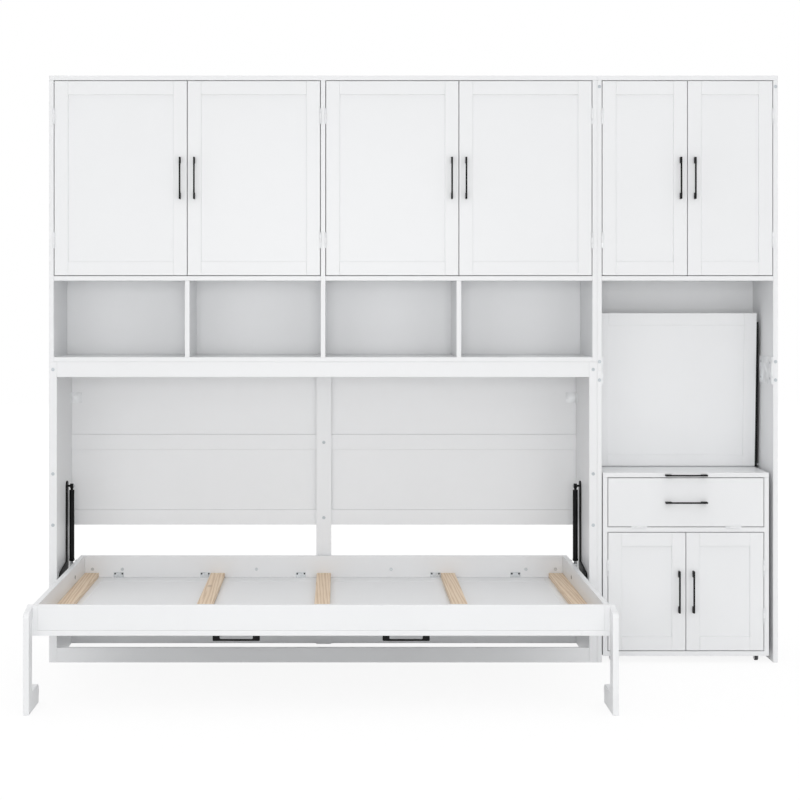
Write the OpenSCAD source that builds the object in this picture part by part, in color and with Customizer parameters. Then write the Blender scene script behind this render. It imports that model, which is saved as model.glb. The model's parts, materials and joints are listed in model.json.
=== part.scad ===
// Wall bed that lowers sideways out of a cabinet, with an overhead hutch and
// a desk tower beside it. Shown with the bed lowered and everything else shut.
// Origin: on the floor, in the middle of the whole footprint. +Z is up and
// the front of the cabinet faces -Y. Inside place(), x runs from the left
// outer face, y from the cabinet's front plane towards the wall.

/* [Cabinet] */
// Height of the whole unit
unit_h = 2240; // [2200:10:2400]
// Width of the bed bay and the hutch above it
bay_w = 2092; // [2040:2:2200]
// Width of the desk tower
tower_w = 690; // [640:2:760]
// Depth of the side panels
side_depth = 358; // [356:1:400]
// Thickness of the case boards
board_t = 18; // [15:0.5:20]
// Thickness of the two bay sides
post_t = 30; // [22:1:36]
// Thickness of the thin back panels
back_t = 6; // [3:0.5:9]
// Front plane to the back panels of hutch and tower
shelf_depth = 298; // [270:1:320]

/* [Bed bay] */
// Height of the bay, up to the underside of the hutch
bay_h = 1147; // [1100:1:1200]
// Height of the rail across the top of the bay
top_rail_h = 58; // [40:1:70]
// Height of the rail across the bottom of the bay
kick_h = 56; // [40:1:60]
// Thickness of the rails and the post of the back frame
back_rail_t = 16; // [12:0.5:18]
// Height of the cross rails of the back frame
back_rail_h = 60; // [40:1:80]
// Front plane to the cross rails of the back frame
bay_back_y = 336; // [334:0.5:340]
// Width of the middle post of the back frame
post_w = 60; // [40:1:90]
// Height of the lowest cross rail above the floor
low_rail_z = 477; // [440:1:560]
// Height of the middle cross rail above the floor
mid_rail_z = 780; // [700:1:860]
// Height of the cross rail on the floor
floor_rail_h = 46; // [30:1:56]
// Front of the cross rails to the back panels between them
back_inset = 4; // [2:0.5:6]
// Distance between the holes for the wall screws
wall_hole_step = 480; // [400:10:560]
// Radius of a hole for a wall screw
wall_hole_r = 3; // [2.5:0.25:4]

/* [Hutch and tower] */
// Clear height of the open shelf row
row_h = 292; // [240:1:340]
// Height of the joint in the tower's sides
seam_z = 1113; // [1080:1:1140]
// Height of the plate across that joint
splice_h = 104; // [60:1:130]
// Thickness of that plate
splice_t = 6; // [3:0.5:6]
// Length of that plate, front to back
splice_d = 174; // [100:1:174]

/* [Doors] */
// Gap round every door and flap
door_gap = 2.5; // [2:0.1:4]
// Width of the door frames
stile_w = 52; // [40:1:60]
// Depth of the door panels behind their frames
panel_step = 6; // [3:0.5:7]
// Length of a hinge
hinge_len = 60; // [40:1:80]
// Door corner to the near end of its hinge
hinge_in = 104; // [60:1:120]
// Radius of the hinge knuckles
knuckle_r = 3.5; // [3:0.1:4.5]
// Radius of the hinge pins
hinge_pin_r = 1.5; // [1:0.1:2]

/* [Handles] */
// Length of a handle
handle_len = 160; // [120:1:180]
// Width of a handle
handle_w = 6; // [5:0.5:14]
// Reach of a handle
handle_reach = 23; // [18:1:34]
// Thickness of its bar
handle_bar_t = 6; // [5:0.5:9]
// Length of each foot
handle_foot = 24; // [16:1:34]

/* [Bed] */
// Underside of the lowered bed above the floor
bed_z = 254; // [240:1:270]
// Height of the bed's boards above its base
bed_rim_h = 86; // [70:1:100]
// Front plane to the bed's wall end, when lowered
bed_back = 313; // [300:1:313]
// Clearance of the folded bed to the rails above and below
fold_gap = 6; // [5:0.5:8]
// Room for the lift between bay side and bed
lift_room = 42; // [40:1:50]
// Width of the base's frame members
base_rail_w = 97; // [70:1:120]
// Depth of the base's panel below its frame
base_step = 4; // [2:0.5:6]
// Width of a slat
slat_w = 56; // [45:1:80]
// Thickness of a slat
slat_t = 18; // [12:0.5:22]

/* [Legs] */
// Thickness of a leg
leg_t = 20; // [18:0.5:26]
// Width of the leg's shaft
leg_w = 55; // [45:1:60]
// Foot end of the bed to the front of the leg
leg_ahead = 57; // [50:1:62]
// Length of the toe behind the shaft
toe_len = 126; // [60:1:140]
// Height of the toe
toe_h = 66; // [50:1:80]
// Radius of the rounded head at the leg's pivot
leg_head_r = 24; // [18:0.5:24]
// Radius of the leg's pivot bolt
leg_bolt_r = 5; // [4:0.5:6]

/* [Bed lift] */
// Front plane to the axis of the gas struts
strut_y = 216; // [200:1:230]
// Height of the strut's upper pin
strut_top_z = 648; // [630:1:680]
// Height of the strut's lower pin
strut_low_z = 336; // [330:1:340]
// Radius of the strut's body
strut_r = 10; // [8:0.5:11]
// Radius of the strut's rod
rod_r = 5; // [3:0.5:6]
// Thickness of the steel brackets and plates
steel_t = 5; // [4:0.5:5]
// Width of the bracket's arms
arm_w = 40; // [30:1:44]
// Radius of the bed's pivot stud
pivot_r = 8; // [6:0.5:10]
// Radial clearance of every turning pin
run_fit = 0.05; // [0.02:0.01:0.1]

/* [Desk leaf] */
// Height of the leaf
leaf_h = 608; // [540:1:620]
// Thickness of the leaf
leaf_t = 20; // [16:0.5:24]
// Width of the leaf's frame
leaf_frame_w = 48; // [36:1:60]
// Front plane to the middle of the leaf at its pivot
leaf_y = 215; // [200:1:230]
// Forward lean of the folded leaf in degrees
leaf_lean = 3; // [0:0.5:4]
// Gap on the leaf's left side
leaf_gap_left = 8; // [8:0.5:14]
// Gap on the leaf's right side
leaf_gap_right = 17; // [16:0.5:24]
// Width of the steel channel on the leaf's right edge
channel_w = 9; // [5:0.5:9]
// Top of the leaf to the top of that channel
channel_drop = 34; // [0:1:80]
// Radius of the leaf's pivot pins
leaf_pin_r = 5; // [3:0.5:6]

/* [Trolley] */
// Height of the trolley's top above the floor
trolley_h = 724; // [700:1:740]
// Depth of the trolley
trolley_d = 280; // [250:1:290]
// Gap on the trolley's left side
trolley_gap_left = 4; // [3:0.5:10]
// Gap on the trolley's right side
trolley_gap_right = 16; // [6:0.5:24]
// Height of the flap's opening
flap_room_h = 190; // [140:1:240]
// Trolley base above the floor
caster_h = 25; // [24:0.5:34]
// Radius of a caster wheel
wheel_r = 11; // [9:0.5:11]
// Width of a caster wheel
wheel_w = 12; // [8:0.5:16]
// Radius of a caster axle
axle_r = 2.5; // [2:0.1:3]

/* [Fittings] */
// Radius of a screw cap
cap_r = 6.5; // [3:0.5:7]
// Thickness of a screw cap
cap_t = 1.5; // [1:0.1:2]
// Low rail to the screw cap beside it, upwards
low_cap_up = 47; // [20:1:100]
// Middle rail to the screw cap beside it, downwards
mid_cap_down = 60; // [20:1:100]
// Tower's joint to the screw caps above and below it
seam_cap_off = 35; // [15:1:50]
// Top of the unit to the tower's uppermost screw cap
top_cap_down = 42; // [30:1:80]
// Length of each arm of the angles in the bay's rear corners
angle_w = 42; // [25:1:60]
// Underside of the bay's top rail to the top of those angles
angle_drop = 77; // [10:1:120]
// Width of the plates that join the bed's back rail and base
plate_w = 40; // [25:1:50]
// Height of those plates
plate_h = 21; // [15:1:40]
// Radius of the head of a leg's pivot bolt
bolt_head_r = 9; // [7:0.5:12]
// Thickness of that head
bolt_head_t = 3; // [2:0.5:5]

/* [Hidden] */
$fn = 48;
EPS = 0.5;               // overshoot of a cut past a face
SEAT = 0.3;              // gap at a seat that moves
SHEET_T = 2;             // sheet steel of small fittings
unit_w = bay_w + tower_w;

// Bays, shelves and doors
opening_w = (bay_w - 3 * board_t) / 2;
mid_shelf_z = bay_h + board_t + row_h;
door_h = unit_h - 2 * board_t - mid_shelf_z - 2 * door_gap;
door_z = mid_shelf_z + board_t + door_gap;
hutch_door_w = (opening_w - 3 * door_gap) / 2;
tower_x = bay_w;
tower_in_x = tower_x + board_t;
tower_in_w = tower_w - 2 * board_t;
tower_door_w = (tower_in_w - 3 * door_gap) / 2;
row_mid_x = [for (i = [0, 1]) board_t + opening_w / 2 + i * (opening_w + board_t)];
hutch_open_x = [board_t, 2 * board_t + opening_w];
splice_y = 2;            // plate's front end behind the tower's front edge

// Bed, worked out so that it folds between the bay's two rails, face flush
base_t = board_t;
bed_w = bay_h - top_rail_h - kick_h - 2 * fold_gap;
bed_front = bed_w - bed_back;
bed_x0 = post_t + lift_room;
bed_x1 = bay_w - bed_x0;
rim_z = bed_z + base_t;
bed_top_z = rim_z + bed_rim_h;
bed_in_x0 = bed_x0 + board_t;
bed_in_x1 = bed_x1 - board_t;
bed_in_y0 = -bed_front + board_t;
bed_in_y1 = bed_back - board_t;
pivot_z = (kick_h + fold_gap + bed_z + bed_back) / 2;
pivot_y = pivot_z - bed_z;
slat_span = (bed_in_x1 - bed_in_x0 - slat_w) / 2;
slat_x = [for (s = [-1, -0.457, 0, 0.535, 1]) s * slat_span];
bed_mid_x = bay_w / 2;
bed_handle_in = 28;      // foot end to the middle of the bed's handles
bed_handle_off = 288;    // middle of the bed to the middle of a handle

// Legs
leg_front = bed_front + leg_ahead;
leg_back = leg_front - leg_w;
leg_x = bed_x0 - SEAT - leg_t;
leg_pivot_y = -(bed_front - 18);
leg_pivot_z = bed_top_z - 2 - leg_head_r;
leg_top_z = bed_top_z - 16;
toe_r = 25;

// Lift
strut_x = post_t + lift_room / 2;
eye_w = 12;
eye_r = 9;
pin_r = 4;
body_top_z = strut_top_z - 16;
body_low_z = strut_low_z + 16;
rod_top_z = body_top_z - 14;

// Desk leaf
leaf_x0 = tower_in_x + leaf_gap_left;
leaf_x1 = tower_in_x + tower_in_w - leaf_gap_right;
leaf_z = trolley_h + SEAT;
leaf_pin_z = leaf_z + leaf_t / 2;
leaf_pin_in = 20;

// Trolley
trolley_x0 = tower_in_x + trolley_gap_left;
trolley_w = tower_in_w - trolley_gap_left - trolley_gap_right;
trolley_in_w = trolley_w - 2 * board_t;
trolley_door_w = (trolley_in_w - 3 * door_gap) / 2;
shelf_z = trolley_h - board_t - flap_room_h - board_t;
trolley_door_z = caster_h + board_t + door_gap;
trolley_door_h = shelf_z - trolley_door_z - door_gap;
flap_z = shelf_z + board_t + door_gap;
flap_h = flap_room_h - 2 * door_gap;
caster_in = 40;          // trolley corner to the middle of a caster

front_y = (leg_front - side_depth) / 2;

white = "white";
black = [0.09, 0.09, 0.1];
steel = [0.75, 0.76, 0.78];
pine = [0.82, 0.68, 0.5];

// ---------------------------------------------------------------- helpers

module place() {
    translate([-unit_w / 2, front_y, 0]) children();
}

// A board from one corner, with its size
module board(corner, size) {
    translate(corner) cube(size);
}

// An outline drawn in (y, z) and carried along x
module along_x(x, length) {
    translate([x, 0, 0]) rotate([90, 0, 90]) linear_extrude(length) children();
}

// A round bar along x
module bar_x(x, y, z, length, r) {
    translate([x, y, z]) rotate([0, 90, 0]) cylinder(h = length, r = r);
}

// The same shape again on the other side of the bay
module both_ends() {
    children();
    translate([bay_w, 0, 0]) mirror([1, 0, 0]) children();
}

// Frame and panel from its lower left front corner
module framed_panel(w, t, h, frame_w, step) {
    difference() {
        cube([w, t, h]);
        translate([frame_w, -EPS, frame_w])
            cube([w - 2 * frame_w, step + EPS, h - 2 * frame_w]);
        translate([frame_w, t - step, frame_w])
            cube([w - 2 * frame_w, step + EPS, h - 2 * frame_w]);
    }
}

// Handle along z, centred, standing off towards -y
module handle() {
    foot_z = handle_len / 2 - handle_foot;
    color(black) {
        translate([-handle_w / 2, -handle_reach, -handle_len / 2])
            cube([handle_w, handle_bar_t, handle_len]);
        for (z = [-handle_len / 2, foot_z])
            translate([-handle_w / 2, -handle_reach, z])
                cube([handle_w, handle_reach, handle_foot]);
    }
}

// Hinge leaf about its own axis. The axis lies in front of the gap's middle.
// side is -1 for the leaf on the case, which carries the pin, and 1 for the
// leaf on the door. It stands along z, with the gap running to +y.
module hinge_leaf(side) {
    third = hinge_len / 3;
    play = 0.2;
    plate_t = door_gap / 2 - 0.15;
    plate_x = side < 0 ? -door_gap / 2 : 0.15;
    reach = knuckle_r + 0.1;
    spans = side < 0 ? [[-hinge_len / 2, third], [third / 2, third]]
                     : [[-third / 2 + play, third - 2 * play]];
    difference() {
        union() {
            translate([plate_x, reach, -hinge_len / 2])
                cube([plate_t, board_t * 0.7, hinge_len]);
            for (s = spans) translate([0, 0, s[0]]) {
                cylinder(h = s[1], r = knuckle_r);
                translate([plate_x, 0, 0]) cube([plate_t, reach, s[1]]);
            }
            if (side < 0) translate([0, 0, -hinge_len / 2])
                cylinder(h = hinge_len, r = hinge_pin_r);
        }
        if (side > 0) translate([0, 0, -hinge_len])
            cylinder(h = 2 * hinge_len, r = hinge_pin_r + run_fit);
    }
}

// The two hinge leaves of an upright door whose gap's middle is at x.
// hand is 1 where the door lies to the right of its hinge, -1 to the left.
module door_leaves(x, z, h, hand, side) {
    for (hz = [z + hinge_in + hinge_len / 2, z + h - hinge_in - hinge_len / 2])
        translate([x, -knuckle_r - 0.1, hz]) scale_x(hand) hinge_leaf(side);
}

module scale_x(hand) {
    if (hand > 0) children();
    else mirror([1, 0, 0]) children();
}

// Door in a gap that starts at x, hinged left (hand 1) or right (hand -1)
module door(x, z, w, h, hand) {
    hinge_x = hand > 0 ? x - door_gap / 2 : x + w + door_gap / 2;
    color(white) {
        translate([x, 0, z]) framed_panel(w, board_t, h, stile_w, panel_step);
        door_leaves(hinge_x, z, h, hand, 1);
    }
}

module door_handle(x, z, w, h, hand) {
    stile_x = hand > 0 ? x + w - stile_w / 2 : x + stile_w / 2;
    translate([stile_x, 0, z + h / 2]) handle();
}

function hutch_door_x(i) =
    hutch_open_x[floor(i / 2)] + door_gap + (i % 2) * (hutch_door_w + door_gap);
function tower_door_x(i) = tower_in_x + door_gap + i * (tower_door_w + door_gap);
function trolley_door_x(i) =
    trolley_x0 + board_t + door_gap + i * (trolley_door_w + door_gap);
function hand_of(i) = i % 2 == 0 ? 1 : -1;
function hinge_x(x, w, hand) = hand > 0 ? x - door_gap / 2 : x + w + door_gap / 2;

// ---------------------------------------------------------------- bed bay

module bay_sides() {
    place() color(white) both_ends()
        board([0, 0, 0], [post_t, side_depth, bay_h]);
}

module bay_front_rails() {
    inner = bay_w - 2 * post_t;
    place() color(white) {
        board([post_t, 0, 0], [inner, board_t, kick_h]);
        board([post_t, 0, bay_h - top_rail_h], [inner, board_t, top_rail_h]);
    }
}

back_rail_z = [0, low_rail_z, mid_rail_z, bay_h - back_rail_h];

// The top rail of the back frame is drilled for the screws into the wall
module bay_back_frame() {
    inner = bay_w - 2 * post_t;
    place() color(white) difference() {
        union() {
            for (i = [0 : 3])
                board([post_t, bay_back_y, back_rail_z[i]],
                      [inner, back_rail_t, i == 0 ? floor_rail_h : back_rail_h]);
            board([bed_mid_x - post_w / 2, bay_back_y - board_t * 5 / 6, 0],
                  [post_w, board_t * 5 / 6, bay_h]);
        }
        for (i = [-1.5 : 1 : 1.5])
            translate([bed_mid_x + i * wall_hole_step, bay_back_y - EPS,
                       bay_h - back_rail_h / 2])
                rotate([-90, 0, 0]) cylinder(h = back_rail_t + 2 * EPS, r = wall_hole_r);
    }
}

module bay_back_panels() {
    inner = bay_w - 2 * post_t;
    place() color(white) for (i = [1, 2])
        board([post_t, bay_back_y + back_inset, back_rail_z[i] + back_rail_h],
              [inner, back_t, back_rail_z[i + 1] - back_rail_z[i] - back_rail_h]);
}

// ---------------------------------------------------------------- hutch

module hutch_sides() {
    place() color(white) both_ends()
        board([0, 0, bay_h], [board_t, side_depth, unit_h - board_t - bay_h]);
}

module hutch_top() {
    place() color(white)
        board([0, 0, unit_h - board_t], [bay_w, side_depth, board_t]);
}

module hutch_mid_shelf() {
    place() color(white) for (x = hutch_open_x)
        board([x, 0, mid_shelf_z], [opening_w, shelf_depth, board_t]);
}

module hutch_bottom() {
    place() color(white)
        board([board_t, 0, bay_h], [bay_w - 2 * board_t, side_depth, board_t]);
}

module hutch_dividers() {
    low_z = bay_h + board_t;
    place() color(white) {
        board([board_t + opening_w, 0, low_z],
              [board_t, shelf_depth, unit_h - board_t - low_z]);
        for (x = row_mid_x)
            board([x - board_t / 2, 0, low_z], [board_t, shelf_depth, row_h]);
    }
}

module hutch_back() {
    low_z = bay_h + board_t;
    place() color(white)
        board([board_t, shelf_depth, low_z],
              [bay_w - 2 * board_t, back_t, unit_h - board_t - low_z]);
}

// ---------------------------------------------------------------- tower

module tower_side(x) {
    board([x, 0, 0], [board_t, side_depth, seam_z]);
    board([x, 0, seam_z], [board_t, side_depth, unit_h - board_t - seam_z]);
}

module tower_left_side() {
    place() color(white) tower_side(tower_x);
}

module tower_right_side() {
    place() color(white) tower_side(unit_w - board_t);
}

module tower_top() {
    place() color(white)
        board([tower_x, 0, unit_h - board_t], [tower_w, side_depth, board_t]);
}

module tower_mid_shelf() {
    place() color(white)
        board([tower_in_x, 0, mid_shelf_z], [tower_in_w, shelf_depth, board_t]);
}

module tower_back() {
    low_z = 60;
    place() color(white)
        board([tower_in_x, shelf_depth, low_z],
              [tower_in_w, back_t, unit_h - board_t - low_z]);
}

// Plates across the tower's joint, and angles in the bay's rear corners
module joining_plates() {
    angle_z = bay_h - back_rail_h - angle_drop - angle_w;
    angle_y = bay_back_y + back_inset;
    place() color(steel) {
        for (x = [tower_in_x, tower_in_x + tower_in_w - splice_t])
            board([x, splice_y, seam_z - splice_h / 2],
                  [splice_t, splice_d, splice_h]);
        both_ends() {
            board([post_t, angle_y - angle_w, angle_z],
                  [SHEET_T, angle_w, angle_w]);
            board([post_t, angle_y - SHEET_T, angle_z],
                  [angle_w, SHEET_T, angle_w]);
        }
    }
}

// Caps over the screws, on the front edges and the middle post
module screw_caps() {
    bay_caps = [low_rail_z + low_cap_up, mid_rail_z - mid_cap_down,
                bay_h - top_rail_h / 2];
    tower_caps = [seam_z - seam_cap_off, seam_z + seam_cap_off,
                  unit_h - top_cap_down];
    mid_caps = [low_rail_z + back_rail_h / 2, mid_rail_z + back_rail_h / 2];
    post_front = bay_back_y - board_t * 5 / 6;
    place() color(steel) {
        both_ends() for (z = bay_caps)
            cap([post_t / 2, 0, z]);
        for (x = [tower_x + board_t / 2, unit_w - board_t / 2], z = tower_caps)
            cap([x, 0, z]);
        for (z = mid_caps) cap([bed_mid_x, post_front, z]);
    }
}

module cap(at) {
    translate(at) rotate([90, 0, 0]) cylinder(h = cap_t, r = cap_r, $fn = 24);
}

module case_hinge_leaves() {
    place() color(steel) {
        for (i = [0 : 3])
            door_leaves(hinge_x(hutch_door_x(i), hutch_door_w, hand_of(i)),
                        door_z, door_h, hand_of(i), -1);
        for (i = [0, 1])
            door_leaves(hinge_x(tower_door_x(i), tower_door_w, hand_of(i)),
                        door_z, door_h, hand_of(i), -1);
    }
}

// ---------------------------------------------------------------- doors

module hutch_door(i) {
    place() door(hutch_door_x(i), door_z, hutch_door_w, door_h, hand_of(i));
}

module hutch_handle(i) {
    place() door_handle(hutch_door_x(i), door_z, hutch_door_w, door_h, hand_of(i));
}

module tower_door(i) {
    place() door(tower_door_x(i), door_z, tower_door_w, door_h, hand_of(i));
}

module tower_handle(i) {
    place() door_handle(tower_door_x(i), door_z, tower_door_w, door_h, hand_of(i));
}

// ---------------------------------------------------------------- bed

module bed_side_boards() {
    place() color(white) both_ends() difference() {
        board([bed_x0, -bed_front, rim_z], [board_t, bed_w, bed_rim_h]);
        bar_x(bed_x0 - EPS, pivot_y, pivot_z, board_t + 2 * EPS, pivot_r + run_fit);
        bar_x(bed_x0 - EPS, leg_pivot_y, leg_pivot_z, board_t + 2 * EPS,
              leg_bolt_r + run_fit);
    }
}

module bed_front_rail() {
    place() color(white)
        board([bed_in_x0, -bed_front, rim_z],
              [bed_in_x1 - bed_in_x0, board_t, bed_rim_h]);
}

module bed_back_rail() {
    place() color(white)
        board([bed_in_x0, bed_in_y1, rim_z],
              [bed_in_x1 - bed_in_x0, board_t, bed_rim_h]);
}

// Framed base, which is the front of the unit when the bed is folded up
module bed_base() {
    w = bed_x1 - bed_x0;
    field = [w - 2 * base_rail_w, bed_w - 2 * base_rail_w];
    place() color(white) difference() {
        board([bed_x0, -bed_front, bed_z], [w, bed_w, base_t]);
        translate([bed_x0 + base_rail_w, -bed_front + base_rail_w, bed_z - EPS])
            cube([field[0], field[1], base_step + EPS]);
    }
}

module bed_slats() {
    place() color(pine) for (x = slat_x)
        board([bed_mid_x + x - slat_w / 2, bed_in_y0, rim_z],
              [slat_w, bed_in_y1 - bed_in_y0, slat_t]);
}

module bed_handles() {
    place() for (side = [-1, 1])
        translate([bed_mid_x + side * bed_handle_off,
                   -bed_front + bed_handle_in, bed_z])
            rotate([90, 0, 90]) handle();
}

// Steel plate on each side board, with the bore for the bay's pivot stud
module bed_lift_plates() {
    ends = [[pivot_y, pivot_z], [strut_y, strut_low_z]];
    place() color(black) both_ends() difference() {
        along_x(bed_x0 - steel_t, steel_t) {
            for (p = ends) translate(p) circle(r = arm_w / 2);
            polygon([for (s = [-1, 1], i = s < 0 ? [0, 1] : [1, 0])
                [ends[i][0], ends[i][1] + s * arm_w / 2]]);
        }
        bar_x(bed_x0 - steel_t - EPS, pivot_y, pivot_z, steel_t + 2 * EPS,
              pivot_r + run_fit);
    }
}

// Plates that join back rail and base, screw caps, and the legs' bolts
module bed_fittings() {
    cap_share = [-0.968, -0.843, -0.282, 0.282, 0.846, 0.97];
    half = (bed_in_x1 - bed_in_x0) / 2;
    beside = (slat_w + plate_w) / 2 + 2;
    plate_x = [-0.858 * half, slat_x[1] - beside, -0.096 * half,
               slat_x[3] - beside, 0.802 * half];
    place() color(steel) {
        for (x = plate_x)
            board([bed_mid_x + x - plate_w / 2, bed_in_y1 - SHEET_T, rim_z],
                  [plate_w, SHEET_T, plate_h]);
        for (s = cap_share)
            cap([bed_mid_x + s * half, bed_in_y1, rim_z + bed_rim_h * 0.38]);
        both_ends() {
            bar_x(leg_x - SEAT - bolt_head_t, leg_pivot_y, leg_pivot_z, bolt_head_t,
                  bolt_head_r);
            bar_x(leg_x - SEAT, leg_pivot_y, leg_pivot_z,
                  bed_in_x0 - leg_x + SEAT, leg_bolt_r);
        }
    }
}

// ---------------------------------------------------------------- legs

// Shaft with a rounded pivot head and a toe that points to the wall
module leg() {
    difference() {
        along_x(leg_x, leg_t) {
            translate([-leg_front, 0]) square([leg_w, leg_top_z - 20]);
            translate([-leg_front + 20, 0]) square([leg_w - 20, leg_top_z]);
            translate([-leg_front + 20, leg_top_z - 20]) circle(r = 20);
            translate([leg_pivot_y, leg_pivot_z]) circle(r = leg_head_r);
            polygon([[-leg_front + 20, leg_top_z - 1],
                     [-leg_back - 1, leg_pivot_z - leg_head_r],
                     [leg_pivot_y, leg_pivot_z - leg_head_r],
                     [leg_pivot_y, leg_pivot_z + leg_head_r - 1]]);
            translate([-leg_back - 1, 0]) square([toe_len + 1 - toe_r, toe_h]);
            translate([-leg_back - 1, 0]) square([toe_len + 1 - 6, toe_h - toe_r]);
            translate([-leg_back + toe_len - toe_r, toe_h - toe_r])
                circle(r = toe_r);
        }
        bar_x(leg_x - EPS, leg_pivot_y, leg_pivot_z, leg_t + 2 * EPS,
              leg_bolt_r + run_fit);
    }
}

module left_leg() {
    place() color(white) leg();
}

module right_leg() {
    place() color(white) translate([bay_w, 0, 0]) mirror([1, 0, 0]) leg();
}

// ---------------------------------------------------------------- lift

// Steel bracket on each bay side: upright arm for the strut's upper pin, and
// a lower arm that carries the stud on which the bed turns
module lift_brackets() {
    low = [[strut_y, strut_low_z], [pivot_y, pivot_z]];
    top = [strut_y, strut_top_z];
    place() color(black) both_ends() {
        along_x(post_t, steel_t) {
            for (p = [low[0], low[1], top]) translate(p) circle(r = arm_w / 2);
            translate([strut_y - arm_w / 2, strut_low_z])
                square([arm_w, strut_top_z - strut_low_z]);
            polygon([for (s = [-1, 1], i = s < 0 ? [1, 0] : [0, 1])
                [low[i][0], low[i][1] + s * arm_w / 2]]);
        }
        bar_x(post_t + steel_t, pivot_y, pivot_z, bed_in_x0 - post_t - steel_t,
              pivot_r);
        bar_x(post_t + steel_t, strut_y, strut_top_z,
              strut_x + eye_w / 2 + 3 - post_t - steel_t, pin_r);
    }
}

// Gas strut: the body hangs from the bracket and is bored for its rod
module strut_body() {
    difference() {
        union() {
            bar_x(strut_x - eye_w / 2, strut_y, strut_top_z, eye_w, eye_r);
            translate([strut_x, strut_y, body_low_z])
                cylinder(h = body_top_z - body_low_z, r = strut_r);
            translate([strut_x, strut_y, body_top_z - 1])
                cylinder(h = strut_top_z - body_top_z - pin_r, r = rod_r);
        }
        bar_x(strut_x - eye_w / 2 - EPS, strut_y, strut_top_z, eye_w + 2 * EPS,
              pin_r + run_fit);
        translate([strut_x, strut_y, body_low_z - EPS])
            cylinder(h = rod_top_z + 4 - body_low_z, r = rod_r + run_fit);
    }
}

// Rod with its lower eye and the pin that bears on the bed's plate
module strut_rod() {
    translate([strut_x, strut_y, strut_low_z])
        cylinder(h = rod_top_z - strut_low_z, r = rod_r);
    bar_x(strut_x - eye_w / 2, strut_y, strut_low_z, eye_w, eye_r);
    bar_x(strut_x, strut_y, strut_low_z,
          bed_x0 - steel_t - SEAT - strut_x, pin_r);
}

module other_end() {
    translate([bay_w, 0, 0]) mirror([1, 0, 0]) children();
}

module left_strut_body() {
    place() color(black) strut_body();
}

module left_strut_rod() {
    place() color(steel) strut_rod();
}

module right_strut_body() {
    place() color(black) other_end() strut_body();
}

module right_strut_rod() {
    place() color(steel) other_end() strut_rod();
}

// ---------------------------------------------------------------- desk leaf

// Everything on the leaf leans forward about its pivot
module leaning() {
    translate([0, leaf_y, leaf_pin_z]) rotate([leaf_lean, 0, 0])
        translate([0, -leaf_y, -leaf_pin_z]) children();
}

module leaf_bore() {
    bar_x(leaf_x0 - EPS, leaf_y, leaf_pin_z, leaf_pin_in + 1 + EPS,
          leaf_pin_r + run_fit);
    bar_x(leaf_x1 - leaf_pin_in - 1, leaf_y, leaf_pin_z,
          leaf_pin_in + 1 + channel_w + EPS, leaf_pin_r + run_fit);
}

module desk_leaf() {
    w = leaf_x1 - leaf_x0;
    step = 5;
    place() color(white) leaning() difference() {
        union() {
            bar_x(leaf_x0, leaf_y, leaf_pin_z, w, leaf_t / 2);
            difference() {
                board([leaf_x0, leaf_y - leaf_t / 2, leaf_pin_z],
                      [w, leaf_t, leaf_h - leaf_t / 2]);
                board([leaf_x0 + leaf_frame_w, leaf_y - leaf_t / 2 - EPS,
                       leaf_z + leaf_frame_w],
                      [w - 2 * leaf_frame_w, step + EPS,
                       leaf_h - 2 * leaf_frame_w]);
            }
        }
        leaf_bore();
    }
}

// Steel channel along the leaf's right edge, tapered at the top
module desk_leaf_channel() {
    half = leaf_t / 2 - 1;
    top = leaf_z + leaf_h - channel_drop;
    place() color(black) leaning() difference() {
        along_x(leaf_x1, channel_w) {
            translate([leaf_y, leaf_pin_z]) circle(r = half);
            polygon([[leaf_y - half, leaf_pin_z], [leaf_y + half, leaf_pin_z],
                     [leaf_y + half, top - half], [leaf_y + half / 2, top],
                     [leaf_y - half / 2, top], [leaf_y - half, top - 3 * half]]);
        }
        leaf_bore();
    }
}

module desk_pivot_pins() {
    right_x = tower_in_x + tower_in_w;
    place() color(steel) {
        bar_x(tower_in_x, leaf_y, leaf_pin_z, leaf_gap_left + leaf_pin_in,
              leaf_pin_r);
        bar_x(leaf_x1 - leaf_pin_in, leaf_y, leaf_pin_z,
              right_x - leaf_x1 + leaf_pin_in, leaf_pin_r);
    }
}

// ---------------------------------------------------------------- trolley

module trolley_case() {
    case_h = trolley_h - board_t - caster_h;
    in_x = trolley_x0 + board_t;
    place() color(white) {
        for (x = [trolley_x0, trolley_x0 + trolley_w - board_t])
            board([x, 0, caster_h], [board_t, trolley_d, case_h]);
        for (z = [caster_h, shelf_z])
            board([in_x, 0, z], [trolley_in_w, trolley_d - back_t, board_t]);
        board([in_x, trolley_d - back_t, caster_h],
              [trolley_in_w, back_t, case_h]);
    }
}

module trolley_top() {
    place() color(white)
        board([trolley_x0, 0, trolley_h - board_t],
              [trolley_w, trolley_d, board_t]);
}

trolley_mid_x = trolley_x0 + trolley_w / 2;

module lying_handle(x, z) {
    translate([x, 0, z]) rotate([0, 90, 0]) handle();
}

module trolley_pull() {
    place() lying_handle(trolley_mid_x, trolley_h - board_t / 2);
}

module flap_handle() {
    place() lying_handle(trolley_mid_x, flap_z + flap_h / 2);
}

module trolley_door(i) {
    place() door(trolley_door_x(i), trolley_door_z, trolley_door_w,
                 trolley_door_h, hand_of(i));
}

module trolley_handle(i) {
    place() door_handle(trolley_door_x(i), trolley_door_z, trolley_door_w,
                        trolley_door_h, hand_of(i));
}

// The flap's leaves stand on their side, below its lower edge
module flap_leaves(side) {
    for (s = [-1, 1])
        translate([trolley_mid_x + s * trolley_in_w * 0.3, -knuckle_r - 0.1,
                   flap_z - door_gap / 2])
            rotate([0, -90, 0]) hinge_leaf(side);
}

module trolley_flap() {
    place() color(white) {
        board([trolley_x0 + board_t + door_gap, 0, flap_z],
              [trolley_in_w - 2 * door_gap, board_t, flap_h]);
        flap_leaves(1);
    }
}

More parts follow.
